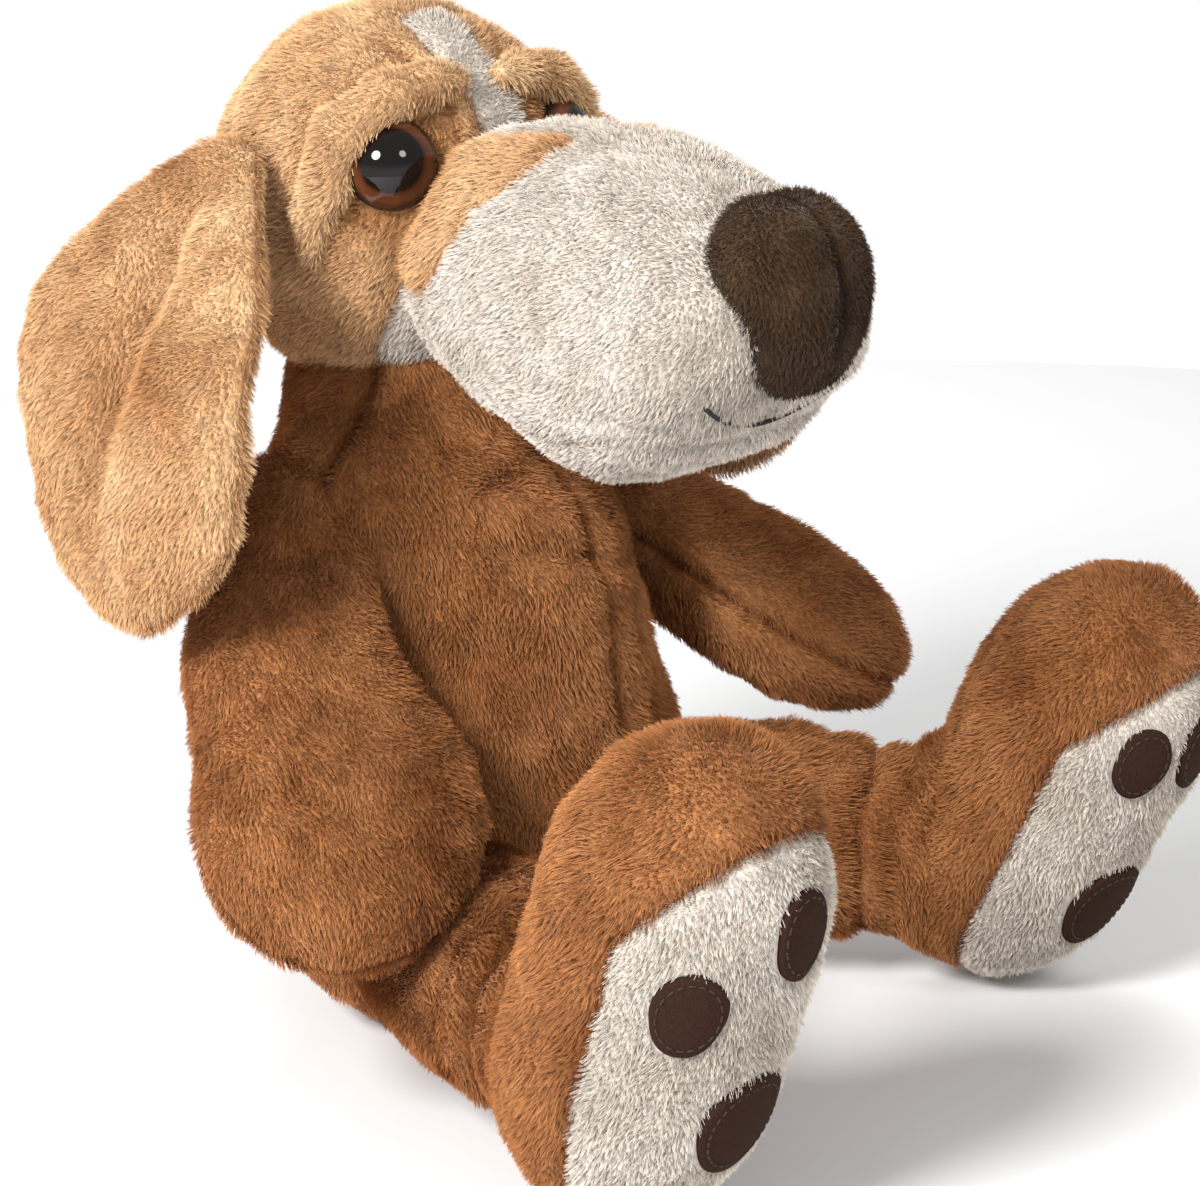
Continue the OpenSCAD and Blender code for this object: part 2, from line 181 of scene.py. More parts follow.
def egg(p, centre, radii):
    q = p - np.asarray(centre, float)
    radii = np.asarray(radii, float)
    near = lengths(q / radii)
    steep = lengths(q / radii ** 2)
    return near * (near - 1) / np.maximum(steep, 1e-6)


def rod(p, start, end, r_start, r_end):
    a, b = np.asarray(start, float), np.asarray(end, float)
    t = np.clip((p - a) @ (b - a) / np.dot(b - a, b - a), 0, 1)
    return lengths(p - a - t[:, None] * (b - a)) - (r_start + (r_end - r_start) * t)


def join(a, b, soft):
    """Smooth union."""
    h = np.clip(0.5 + 0.5 * (b - a) / soft, 0, 1)
    return b * (1 - h) + a * h - soft * h * (1 - h)


def keep(a, b, soft):
    """Smooth intersection."""
    return -join(-a, -b, soft)


def hill(x, width):
    return np.exp(-(x / width) ** 2)


def ramp(x, start, end):
    """0 before start, 1 after end, smooth between them."""
    t = np.clip((x - start) / (end - start), 0, 1)
    return t * t * (3 - 2 * t)


def rumple(p, size, seed=0):
    """Smooth noise about -1 to 1 at the points p."""
    return np.array([noise.noise(Vector(q) / size + Vector((seed, 0, 0))) for q in p]) * 1.6


def mottle(size, seed, middle=0.5, swing=0.25):
    """A function of points that wanders about a middle value."""
    return lambda p: middle + swing * rumple(p, size, seed)


def one_panel(p):
    return np.zeros(len(p), int)


# Which form each stuffed CAD node has to stay inside: node -> (space, form).
INSIDE = {}


# ---- Meshes ----

def surface_net(form, low, high, step):
    """Quads on the surface of a form, one vertex in each grid cell that the surface crosses."""
    ticks = [np.arange(a - 2 * step, b + 3 * step, step) for a, b in zip(low, high)]
    grid = np.stack(np.meshgrid(*ticks, indexing="ij"), -1)
    value = form(grid.reshape(-1, 3)).reshape(grid.shape[:3])
    cells = tuple(n - 1 for n in value.shape)
    total, count = np.zeros(cells + (3,)), np.zeros(cells)
    edges = []
    for axis in range(3):
        u, v = (axis + 1) % 3, (axis + 2) % 3
        first, second = [slice(None)] * 3, [slice(None)] * 3
        first[axis], second[axis] = slice(0, -1), slice(1, None)
        a, b = value[tuple(first)], value[tuple(second)]
        cross = (a < 0) != (b < 0)
        share = np.where(cross, a / np.where(cross, a - b, 1), 0)
        point = grid[tuple(first)] + share[..., None] * step * np.eye(3)[axis]
        for du in (0, 1):
            for dv in (0, 1):
                part = [slice(None)] * 3
                part[u], part[v] = slice(du, du + cells[u]), slice(dv, dv + cells[v])
                part = tuple(part)
                total += np.where(cross[part][..., None], point[part], 0)
                count += cross[part]
        at = np.argwhere(cross)
        inner = (at[:, u] > 0) & (at[:, v] > 0) & (at[:, u] < cells[u]) & (at[:, v] < cells[v])
        edges.append((at[inner], np.eye(3, dtype=int)[u], np.eye(3, dtype=int)[v],
                      a[tuple(at[inner].T)] < 0))
    index = np.cumsum(count.ravel() > 0).reshape(cells) - 1
    verts = total[count > 0] / count[count > 0][:, None]
    quads = []
    for at, u, v, outward in edges:
        ring = np.stack([index[tuple((at - d).T)] for d in (u + v, v, 0 * u, u)], 1)
        quads.append(np.where(outward[:, None], ring, ring[:, ::-1]))
    return verts, np.concatenate(quads)


def slope(form, p, h=0.05):
    corners = np.array([(1, -1, -1), (-1, -1, 1), (-1, 1, -1), (1, 1, 1)], float)
    return sum(k * form(p + h * k)[:, None] for k in corners) / (4 * h)


def pull(form, p, most=2.0):
    """Moves points onto the form's surface."""
    g = slope(form, p)
    step = form(p)[:, None] * g / np.maximum((g ** 2).sum(1), 1e-4)[:, None]
    size = lengths(step)[:, None]
    return p - step * np.minimum(1, most / np.maximum(size, 1e-9))


def around(quads, values, count):
    """The mean of the quads' values at each vertex."""
    flat = quads.ravel()
    shares = np.bincount(flat, minlength=count)
    sums = [np.bincount(flat, np.repeat(values[:, i], 4), count) for i in range(values.shape[1])]
    return np.stack(sums, 1) / np.maximum(shares, 1)[:, None]


def settle(form, verts, quads, rounds=4):
    for _ in range(rounds):
        verts = around(quads, verts[quads].mean(1), len(verts))
        verts = pull(form, verts)
    return verts


def panel_edges(quads, labels, count):
    """Which vertices lie between panels."""
    low, high = np.full(count, 999), np.full(count, -1)
    np.minimum.at(low, quads.ravel(), np.repeat(labels, 4))
    np.maximum.at(high, quads.ravel(), np.repeat(labels, 4))
    return low != high


def snap_to_seams(form, verts, quads, labels, cuts):
    """Moves the vertices between panels onto the line of the cut between them."""
    centres = verts[quads].mean(1)
    between = panel_edges(quads, labels, len(verts))
    for cut in cuts:
        side = (cut(centres) > 0).astype(int)
        on = np.where(between & panel_edges(quads, side, len(verts)))[0]
        if len(on):
            for _ in range(2):
                moved = pull(cut, verts[on], 1.2)
                verts[on] = pull(form, moved, 1.2)
    return verts


def distance_to(points, targets):
    if not len(targets):
        return np.full(len(points), 1e3)
    tree = kdtree.KDTree(len(targets))
    for i, t in enumerate(targets):
        tree.insert(t, i)
    tree.balance()
    return np.array([tree.find(p)[2] for p in points])


def make_mesh(name, verts, faces, material, space=WORLD):
    """A mesh object from local millimetres."""
    mesh = bpy.data.meshes.new(name)
    if space.mirrored:
        faces = [f[::-1] for f in faces]
    mesh.from_pydata((space.world(verts) * MM).tolist(), [], [list(map(int, f)) for f in faces])
    mesh.polygons.foreach_set("use_smooth", [True] * len(mesh.polygons))
    mesh.materials.append(material)
    mesh.update()
    piece = bpy.data.objects.new(name, mesh)
    SCENE.collection.objects.link(piece)
    return piece


def add_attribute(piece, name, kind, values):
    data = piece.data.attributes.new(name, kind, "POINT").data
    data.foreach_set("vector" if kind == "FLOAT_VECTOR" else "value", np.asarray(values, np.float32).ravel())


def thick_panel(name, verts, normals, quads, material, space, nap, shade, hairy):
    """A panel of fabric: its outer side, a backing inside it and a rim round its edge."""
    used, flat = np.unique(quads, return_inverse=True)
    top = flat.reshape(quads.shape)
    outer, count = verts[used], len(used)
    inner = outer - normals[used] * BACKING
    sides = np.concatenate([top[:, [i, (i + 1) % 4]] for i in range(4)])
    keys = sides[:, 0] * count + sides[:, 1]
    back = sides[:, 1] * count + sides[:, 0]
    rim = sides[~np.isin(keys, back)]
    rims = np.stack([rim[:, 1], rim[:, 0], rim[:, 0] + count, rim[:, 1] + count], 1)
    faces = np.concatenate([top, top[:, ::-1] + count, rims])
    piece = make_mesh(name, np.concatenate([outer, inner]), faces, material, space)
    add_attribute(piece, "pile", "FLOAT", np.concatenate([hairy[used], np.zeros(count)]))
    add_attribute(piece, "nap", "FLOAT_VECTOR", np.tile(space.turn(nap[used]), (2, 1)))
    add_attribute(piece, "shade", "FLOAT", np.tile(shade[used], 2))
    return piece


PUCKER_SIZE = 4.5              # length of the puckers along a seam, mm
DENT_SIZE, DENT_DEPTH = 16, 0.35     # the soft dents that lumpy filling gives every panel, mm
SEAM_SHADE, SEAM_PARTING = 1.6, 1.3  # how far a seam's painted shade darkens the pile beside it and how far the seam thins it, mm


def sew(form, low, high, space, cuts, label, panels, nap, relief=None, shade=None, bald=None,
        groove=2.2, groove_width=3.0, step=NET):
    """Cuts the surface of a form into panels that meet in sunken seams.

    panels is a list of (name, material). label gives each point the index of its panel.
    """
    verts, quads = surface_net(form, low, high, step)
    verts = settle(form, verts, quads)
    labels = label(verts[quads].mean(1))
    verts = snap_to_seams(form, verts, quads, labels, cuts)
    normals = slope(form, verts)
    normals /= lengths(normals)[:, None]
    seam = verts[panel_edges(quads, labels, len(verts))]
    away = distance_to(verts, seam)
    pucker = 1 + 0.5 * rumple(verts, PUCKER_SIZE)
    lift = -groove * hill(away, groove_width) * pucker
    lift += DENT_DEPTH * rumple(verts, DENT_SIZE, 7)
    if relief is not None:
        lift += relief(verts)
    # The shade attribute: the panel's painted shade and sheen, with painted shade along each seam where the
    # pile parts into the groove.
    tone = (0.5 if shade is None else shade(verts)) - 0.8 * hill(away, SEAM_SHADE)
    hairy = (1 if bald is None else 1 - bald(verts)) * (1 - 0.65 * hill(away, SEAM_PARTING))
    direction = nap(verts)
    direction = direction - normals * (direction * normals).sum(1)[:, None]
    verts = verts + normals * lift[:, None]
    pieces = {}
    for i, (name, material) in enumerate(panels):
        mine = quads[labels == i]
        pieces[name] = thick_panel(name + "_plush", verts, normals, mine, material, space,
                                   direction, tone, hairy)
    return pieces


# ---- Materials ----

def new_material(name, rough=0.8):
    material = bpy.data.materials.new(name)
    material.use_nodes = True
    shader = material.node_tree.nodes["Principled BSDF"]
    shader.inputs["Roughness"].default_value = rough
    return material, material.node_tree, shader


def feed(tree, socket, value):
    """Links a socket to another, or gives it a constant."""
    if isinstance(value, bpy.types.NodeSocket):
        tree.links.new(value, socket)
    elif isinstance(value, tuple) and socket.type == "RGBA":
        socket.default_value = (*value, 1)
    elif value is not None:
        socket.default_value = value


def set_up(tree, node, **values):
    """Gives a node's inputs, with _ for the spaces in their names, or else its own settings."""
    for key, value in values.items():
        name = key.replace("_", " ")
        if name in node.inputs:
            feed(tree, node.inputs[name], value)
        else:
            setattr(node, key, value)
    return node


def add_node(tree, kind, **values):
    return set_up(tree, tree.nodes.new(kind), **values)


def math_node(tree, operation, first, second=0.0):
    made = add_node(tree, "ShaderNodeMath", operation=operation)
    for socket, value in zip(made.inputs, (first, second)):
        feed(tree, socket, value)
    return made.outputs[0]


def vector_node(tree, operation, first, second=None, scale=None):
    made = add_node(tree, "ShaderNodeVectorMath", operation=operation)
    if scale is not None:
        feed(tree, made.inputs["Scale"], scale)
    for socket, value in zip(made.inputs, (first, second)):
        feed(tree, socket, value)
    return made.outputs[0]


def scaled(tree, value, gain, offset):
    """value * gain + offset"""
    return math_node(tree, "ADD", math_node(tree, "MULTIPLY", value, gain), offset)


def centred(tree, value, gain):
    """A value from 0 to 1 turned into a swing about 0."""
    return math_node(tree, "MULTIPLY", math_node(tree, "SUBTRACT", value, 0.5), gain)


def mix_colors(tree, share, first, second, mode="MIX"):
    made = add_node(tree, "ShaderNodeMix", data_type="RGBA", blend_type=mode)
    for index, value in ((0, share), (6, first), (7, second)):
        feed(tree, made.inputs[index], value)
    return made.outputs[2]


def tinted(tree, value, color):
    """A colour made lighter and darker by a value about 1."""
    gain = add_node(tree, "ShaderNodeCombineColor", Red=value, Green=value, Blue=value)
    return mix_colors(tree, 1.0, color, gain.outputs[0], "MULTIPLY")


def point_value(tree, name):
    """The value of an attribute of the mesh or of the pile."""
    return add_node(tree, "ShaderNodeAttribute", attribute_name=name).outputs["Fac"]


def noise_value(tree, scale, detail=2.0, stretch=None):
    """Noise over the object's own coordinates, from 0 to 1; scale is in waves per metre."""
    coords = add_node(tree, "ShaderNodeTexCoord").outputs["Object"]
    if stretch:
        coords = vector_node(tree, "MULTIPLY", coords, stretch)
    return add_node(tree, "ShaderNodeTexNoise", Vector=coords, Scale=scale, Detail=detail).outputs[0]


def bump(tree, height, strength, distance):
    return add_node(tree, "ShaderNodeBump", Height=height, Strength=strength, Distance=distance).outputs[0]


def tone_with_painted_sheen(tree, dark, light):
    """The brushed colour of the pile with painted sheen: noise patches of lighter and darker nap over the
    panel's shade attribute, which is painted shade and sheen too.
    """
    # Painted sheen: random patches of lighter and darker nap.
    sheen_patches = centred(tree, noise_value(tree, 38), 1.5)
    share = math_node(tree, "ADD", point_value(tree, "shade"), sheen_patches)
    return mix_colors(tree, add_node(tree, "ShaderNodeClamp", Value=share).outputs[0], dark, light)


def plush(name, dark, light):
    """The woven ground with short tufts, seen where the pile parts."""
    material, tree, shader = new_material(name, 0.9)
    tufts = noise_value(tree, 900, 3, (1, 1, 0.45))
    # The tufts' noise also darkens the colour where their bump is low: painted shade in the gaps between
    # tufts.
    color = tinted(tree, scaled(tree, tufts, 0.9, 0.35), tone_with_painted_sheen(tree, dark, light))
    set_up(tree, shader, Base_Color=color, Normal=bump(tree, tufts, 0.6, 0.8 * MM),
           Sheen_Weight=0.25, Specular_IOR_Level=0.2)
    return material


def pile_material(name, dark, light):
    """The fibres of the pile: painted shade darkens their roots and they are paler at their tips."""
    material, tree, shader = new_material(name, 0.65)
    along = add_node(tree, "ShaderNodeHairInfo").outputs["Intercept"]
    tuft = point_value(tree, "tuft")
    # Painted shade toward each fibre's root, times a random tone for each tuft.
    value = math_node(tree, "MULTIPLY", scaled(tree, along, 0.75, 0.38), scaled(tree, tuft, 0.5, 0.78))
    color = tinted(tree, value, tone_with_painted_sheen(tree, dark, light))
    set_up(tree, shader, Base_Color=color, Specular_IOR_Level=0.25)
    return material


# name: (dark nap, light nap, length in mm, fibres per square mm); dark and light nap are the fabric with its
# painted shade and painted sheen
PLUSH = {
    "brown_plush": ((0.29, 0.095, 0.024), (0.58, 0.255, 0.093), 2.1, 3.0),
    "tan_plush": ((0.60, 0.310, 0.130), (0.90, 0.610, 0.340), 1.9, 3.0),
    "cream_plush": ((0.66, 0.58, 0.49), (0.84, 0.77, 0.69), 1.5, 3.2),
    "nose_plush": ((0.028, 0.012, 0.004), (0.085, 0.044, 0.018), 1.3, 3.2),
}
GROUND = {k: plush(k, v[0], v[1]) for k, v in PLUSH.items()}
FIBRE = {k: pile_material(k + "_fibres", v[0], v[1]) for k, v in PLUSH.items()}


# ---- Pile ----

def named(tree, name, kind="FLOAT_VECTOR"):
    return add_node(tree, "GeometryNodeInputNamedAttribute", data_type=kind, Name=name).outputs[0]


def store(tree, geometry, name, value, kind="FLOAT_VECTOR"):
    return add_node(tree, "GeometryNodeStoreNamedAttribute", data_type=kind, domain="POINT",
                    Geometry=geometry, Name=name, Value=value).outputs[0]


def split(tree, vector):
    return add_node(tree, "ShaderNodeSeparateXYZ", Vector=vector).outputs


def pile_sockets(tree):
    new_socket = tree.interface.new_socket
    new_socket("Geometry", in_out="INPUT", socket_type="NodeSocketGeometry")
    numbers = ("Density", "Length", "Lean", "Clump", "Width")
    for name, kind in (("Piece", "Object"), *((n, "Float") for n in numbers), ("Material", "Material")):
        new_socket(name, in_out="INPUT", socket_type="NodeSocket" + kind)
    new_socket("Geometry", in_out="OUTPUT", socket_type="NodeSocketGeometry")


def pile_roots(tree, given):
    """Points over the piece, each with its root, the way up, its tuft's middle and some chance values."""
    info = add_node(tree, "GeometryNodeObjectInfo", transform_space="RELATIVE", Object=given["Piece"])
    density = math_node(tree, "MULTIPLY", given["Density"], named(tree, "pile", "FLOAT"))
    spread = add_node(tree, "GeometryNodeDistributePointsOnFaces", Mesh=info.outputs["Geometry"],
                      Density=density)
    position = add_node(tree, "GeometryNodeInputPosition").outputs[0]
    cells = add_node(tree, "ShaderNodeTexVoronoi", Vector=position, Scale=given["Clump"])
    sway = add_node(tree, "ShaderNodeTexNoise", Vector=position, Scale=90.0, Detail=2.0)
    index = add_node(tree, "GeometryNodeInputIndex").outputs[0]
    random = add_node(tree, "FunctionNodeRandomValue", data_type="FLOAT_VECTOR", ID=index)
    gather = vector_node(tree, "SUBTRACT", cells.outputs["Position"], position)
    swing = vector_node(tree, "SUBTRACT", sway.outputs["Color"], (0.5, 0.5, 0.5))
    points = spread.outputs["Points"]
    for name, value in (("root", position), ("up", spread.outputs["Normal"]), ("pull", gather),
                        ("sway", swing), ("chance", random.outputs[0])):
        points = store(tree, points, name, value)
    return store(tree, points, "tuft", split(tree, cells.outputs["Color"])[0], "FLOAT")


def pile_lines(tree, points):
    """A short line of four points on every root."""
    line = add_node(tree, "GeometryNodeCurvePrimitiveLine", End=(0, 0, MM)).outputs[0]
    line = add_node(tree, "GeometryNodeResampleCurve", Curve=line, Count=4).outputs[0]
    copies = add_node(tree, "GeometryNodeInstanceOnPoints", Points=points, Instance=line)
    return add_node(tree, "GeometryNodeRealizeInstances", Geometry=copies.outputs[0]).outputs[0]


def pile_offset(tree, given, t):
    """Where a fibre has got to at its share t: up, along the nap, into its tuft and a little astray."""
    times = lambda a, b: math_node(tree, "MULTIPLY", a, b)
    chance = named(tree, "chance")
    length = times(given["Length"], scaled(tree, split(tree, chance)[0], 0.45, 0.7))
    rise = vector_node(tree, "SCALE", named(tree, "up"), scale=times(t, length))
    swing = vector_node(tree, "SCALE", named(tree, "sway"), scale=2.6)
    nap = vector_node(tree, "ADD", named(tree, "nap"), swing)
    bend = times(math_node(tree, "POWER", t, 1.4), times(length, given["Lean"]))
    lie = vector_node(tree, "SCALE", nap, scale=bend)
    gather = vector_node(tree, "SCALE", named(tree, "pull"), scale=times(t, 0.62))
    astray = vector_node(tree, "SUBTRACT", chance, (0.5, 0.5, 0.5))
    stray = vector_node(tree, "SCALE", astray, scale=times(times(t, t), 0.7 * MM))
    return vector_node(tree, "ADD", vector_node(tree, "ADD", rise, lie),
                       vector_node(tree, "ADD", gather, stray))


def pile_group():
    """Geometry nodes that grow clumped fibres out of a piece's outer side."""
    tree = bpy.data.node_groups.new("pile", "GeometryNodeTree")
    pile_sockets(tree)
    given = add_node(tree, "NodeGroupInput").outputs
    curve = pile_lines(tree, pile_roots(tree, given))
    t = add_node(tree, "GeometryNodeSplineParameter").outputs["Factor"]
    place = vector_node(tree, "ADD", named(tree, "root"), pile_offset(tree, given, t))
    curve = add_node(tree, "GeometryNodeSetPosition", Geometry=curve, Position=place).outputs[0]
    taper = math_node(tree, "SUBTRACT", 1.0, math_node(tree, "MULTIPLY", t, 0.75))
    width = math_node(tree, "MULTIPLY", given["Width"], taper)
    curve = add_node(tree, "GeometryNodeSetCurveRadius", Curve=curve, Radius=width).outputs[0]
    curve = add_node(tree, "GeometryNodeSetMaterial", Geometry=curve, Material=given["Material"]).outputs[0]
    add_node(tree, "NodeGroupOutput", Geometry=curve)
    return tree


PILE = pile_group()


def grow_pile(piece, kind):
    """Fibres on a piece: a curves object that reads the piece, so it follows every pose."""
    _, _, length, density = PLUSH[kind]
    curves = bpy.data.hair_curves.new(piece.name + "_pile")
    curves.materials.append(FIBRE[kind])
    pile = bpy.data.objects.new(piece.name + "_pile", curves)
    SCENE.collection.objects.link(pile)
    growth = pile.modifiers.new("pile", "NODES")
    growth.node_group = PILE
    values = {"Piece": piece, "Density": density / MM ** 2, "Length": length * MM,
              "Lean": 1.0, "Clump": 760.0, "Width": 0.11 * MM, "Material": FIBRE[kind]}
    for item in PILE.interface.items_tree:
        if item.item_type == "SOCKET" and item.name in values:
            growth[item.identifier] = values[item.name]
    growth.show_viewport = False
    growth.show_render = True


def dress(pieces, body, kinds, bends=None):
    """Puts panels on their body: each stands for its CAD node and gets its pile.

    bends gives, for a panel that crosses a joint, the other body and where the bend starts and ends.
    """
    for name, piece in pieces.items():
        kind = kinds if isinstance(kinds, str) else kinds[name]
        if bends and name in bends:
            other, start, end = bends[name]
            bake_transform(piece, other, body, start * MM, end * MM)
        else:
            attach(piece, body)
        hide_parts(name)
        grow_pile(piece, kind)


def ground(kinds):
    """(panel, material) pairs from a dict of panel names and their kinds of plush."""
    return [(name, GROUND[kind]) for name, kind in kinds.items()]


def flow(*direction):
    """A nap that lies the same way all over."""
    return lambda p: np.tile(np.asarray(direction, float), (len(p), 1))


# ---- Torso ----

SEAT_RIM = 13
FLOOR_GAP = 1.2       # room left for the crushed pile under the toy, mm


def torso_form(p):
    body = join(egg(p, (0, 0, 68), (67, 63, 76)), egg(p, (0, -4, 126), (45, 52, 54)), 14)
    neck = rod(p, (0, 6, 160), (0, 12, 182), 36, 36)
    shoulders = egg(fold_over(p), (30, 8, 158), (30, 28, 26))
    return keep(join(join(body, neck, 14), shoulders, 14), FLOOR_GAP - p[:, 2], 12)


# Height, rise across the chest, depth and width of each crease, mm.
CHEST_CREASES = ((163, 0.3, 5.0, 5), (147, -0.12, 4.0, 4.5), (128, 0.1, 2.2, 6), (92, 0.15, 1.6, 7))


def torso_folds(p):
    """Creases across the chest under the head and over the lap."""
    x, y, z = p.T
    sag = 4 * rumple(p * (1, 1, 0.2), 34, 3)
    deep = np.zeros(len(p))
    for height, rise, depth, width in CHEST_CREASES:
        line = z - height - rise * (x + 20) - sag
        deep -= depth * hill(line, width) * ramp(-y, 0, 30) * ramp(rumple(p, 24, height), -0.6, 0.3)
    return deep


def torso_label(p):
    x, y, z = p.T
    quarter = np.where(x < 0, 0, 1) + np.where(y < 0, 0, 2)
    return np.where(z < SEAT_RIM, 4, quarter)


def make_torso():
    names = ("torso_front_right", "torso_front_left", "torso_back_right", "torso_back_left", "seat_panel")
    kinds = dict.fromkeys(names, "brown_plush")
    cuts = [lambda p: p[:, 0], lambda p: p[:, 1], lambda p: p[:, 2] - SEAT_RIM]
    INSIDE["torso_stuffing"] = INSIDE["bean_bag"] = WORLD, torso_form
    pieces = sew(torso_form, (-70, -66, 0), (70, 66, 216), WORLD, cuts, torso_label, ground(kinds),
                 flow(0, 0, -1), torso_folds, mottle(40, 11))
    dress(pieces, "torso", kinds)


# ---- Legs and feet ----

ANKLE_SEAM = 26       # how far the foot's upper reaches up the leg from the ankle, mm
# Felt pads: outward and up the foot, half their width and half their height.
TOE_PADS = {"right": ((24, 14, 9.5, 12), (-2, 33, 9.5, 12)),
            "left": ((-3, 33, 9.5, 12), (-23, 30, 8.5, 11))}
HEEL_PAD = {"right": (1, -22, 15, 15), "left": (-9, -23, 15, 15)}
PAD_POINTS = 48       # points round each ring of a pad
SOLE_EDGE = 6         # how far the sole's edge lies in from the front of the foot, mm


def sole_cut(r):
    """Negative on the sole; the brown upper wraps over the toes."""
    return r[:, 1] + SOLE_EDGE + 0.6 * np.maximum(r[:, 2] - 26, 0)


class Limb:
    """The leg and foot of one side as one stuffed form."""

    def __init__(self, side):
        self.side, self.leg, self.foot = side, leg_space(side), foot_space(side)
        self.length = np.linalg.norm(joint_point(f"leg_{side}_splay") - joint_point(f"foot_{side}_bend"))
        self.ankle = self.length - ANKLE_SEAM

    def form(self, p):
        q, r = self.leg.local(p), self.foot.local(p)
        thigh = egg(q, (0, 0, -self.length / 2), (30, 30, 80))
        thigh = join(thigh, egg(q, (0, 0, -self.length), (27, 27, 27)), 8)
        shoe = join(egg(r, (0, 0, 20), (35, 34.5, 49)), egg(r, (0, 1, -20), (34.5, 35, 49)), 10)
        return keep(join(thigh, shoe, 12), FLOOR_GAP - p[:, 2], 6)

    def label(self, p):
        q, r = self.leg.local(p), self.foot.local(p)
        foot = q[:, 2] < -self.ankle
        leg = np.where(q[:, 0] > 0, 0, 1)
        return np.where(foot, np.where(sole_cut(r) < 0, 3, 2), leg)

    def relief(self, p):
        """Wrinkles where the foot turns up from the leg."""
        q = self.leg.local(p)
        sag = 3.5 * rumple(q * (1, 1, 0.3), 22, 5)
        top = ramp(q[:, 1] * np.sign(self.leg.axes[1][2]), -30, 10)
        deep = np.zeros(len(p))
        for place, depth in ((-0.62, 1.6), (-0.74, 2.6), (-0.85, 2.8), (-0.95, 2.0)):
            deep -= depth * hill(q[:, 2] - place * self.length - sag, 3.4) * (0.3 + 0.7 * top)
        return deep

    def bald(self, p):
        bare = np.zeros(len(p))
        for pad in (*TOE_PADS[self.side], HEEL_PAD[self.side]):
            middle, across, up = self.pad_place(pad)
            wide, high = (p - middle) @ across / (pad[2] + 0.6), (p - middle) @ up / (pad[3] + 0.9)
            near = lengths(p - middle) < 24
            bare = np.maximum(bare, (wide ** 2 + high ** 2 < 1) * near)
        return bare

    def nap(self, p):
        down = self.leg.turn(np.tile((0.0, 0.0, -1.0), (len(p), 1)))
        foot = ramp(-self.leg.local(p)[:, 2], self.length - 20, self.length + 10)[:, None]
        return down * (1 - foot) + foot * self.foot.turn(np.tile((0.15, 0.3, -1.0), (len(p), 1)))

    def sew(self):
        side = self.side
        kinds = {f"leg_{side}_outer": "brown_plush", f"leg_{side}_inner": "brown_plush",
                 f"foot_{side}_upper": "brown_plush", f"foot_{side}_sole": "cream_plush"}
        cuts = [lambda p: self.leg.local(p)[:, 0], lambda p: self.leg.local(p)[:, 2] + self.ankle,
                lambda p: sole_cut(self.foot.local(p))]
        INSIDE[f"leg_{side}_stuffing"] = INSIDE[f"foot_{side}_stuffing"] = WORLD, self.form
        points = node_points(*kinds)
        pieces = sew(self.form, points.min(0) - 3, points.max(0) + 3, WORLD, cuts, self.label,
                     ground(kinds), self.nap, self.relief, mottle(30, 4), self.bald)
        start, end = (self.leg.world((0, 0, -self.length + d)) for d in (ANKLE_SEAM, -6))
        bends = {f"foot_{side}_upper": (f"leg_{side}", start, end)}
        for body in (f"leg_{side}", f"foot_{side}"):
            mine = {k: v for k, v in pieces.items() if k.startswith(body)}
            dress(mine, body, kinds, bends=bends)

    def pad_place(self, pad):
        """Middle of a pad on the sole and the two directions across it, in world millimetres."""
        r = np.array([[pad[0], -60.0, pad[1]]])
        for _ in range(40):
            r[:, 1] += self.form(self.foot.world(r)) * 0.7
        middle = self.foot.world(r)
        out = unit(slope(self.form, middle)[0])
        across = unit(np.cross(self.foot.axes[2], out))
        return middle, across, np.cross(out, across)

    def on_sole(self, pad, turns, share, lift):
        """Points of the sole round a pad's middle, raised by lift."""
        middle, across, up = self.pad_place(pad)
        wide, high = np.cos(turns) * share * pad[2], np.sin(turns) * share * pad[3]
        p = middle + wide[:, None] * across + high[:, None] * up
        for _ in range(3):
            p = pull(self.form, p, 4.0)
        normal = slope(self.form, p)
        normal /= lengths(normal)[:, None]
        return self.foot.local(p + normal * lift)

    def pad_verts(self, pad, index):
        """Rings of points of one felt pad, from its middle to its turned-down edge."""
        turns = np.linspace(0, 2 * math.pi, PAD_POINTS, endpoint=False)
        wobble = 1 + 0.025 * np.sin(3 * turns + index) + 0.015 * np.sin(5 * turns + 2 * index)
        rings = [(0.001, 1.9)] + [(k / 8, 1.9 - 0.2 * hill(k - 6.4, 0.7)) for k in range(1, 8)]
        rings += [(0.97, 1.6), (1.0, 1.0), (1.0, -0.8)]
        return [self.on_sole(pad, turns, share * wobble, lift) for share, lift in rings]

    def make_pads(self, name, pads):
        verts, faces = [], []
        for index, pad in enumerate(pads):
            rings = self.pad_verts(pad, index)
            faces += tube(len(rings), PAD_POINTS, len(verts) * PAD_POINTS)
            verts += rings
        piece = make_mesh(name + "_felt", np.concatenate(verts), faces, FELT, self.foot)
        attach(piece, f"foot_{self.side}")
        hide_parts(name)
        self.stitch(name + "_thread", pads)

    def stitch(self, name, pads):
        """The ring of short stitches round each pad."""
        paths = []
        for pad in pads:
            count = int(pad[2] * 2.1)
            for i in range(count):
                turns = (i + np.array([0.0, 0.3, 0.6])) * 2 * math.pi / count
                paths.append(self.on_sole(pad, turns, 0.8, 1.85))
        piece = make_mesh(name, *threads(paths, 0.26), PAD_THREAD, self.foot)
        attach(piece, f"foot_{self.side}")


def tube(rows, count, first=0, flip=False):
    """Faces between rings of count vertices each, and one face to close each end."""
    faces = []
    for k in range(rows - 1):
        for i in range(count):
            a, b = first + k * count + i, first + k * count + (i + 1) % count
            faces.append((a, b, b + count, a + count) if flip else (a, a + count, b + count, b))
    for ring, turn in ((0, 1), (rows - 1, -1)):
        faces.append([first + ring * count + i for i in range(count)][::-turn if flip else turn])
    return faces


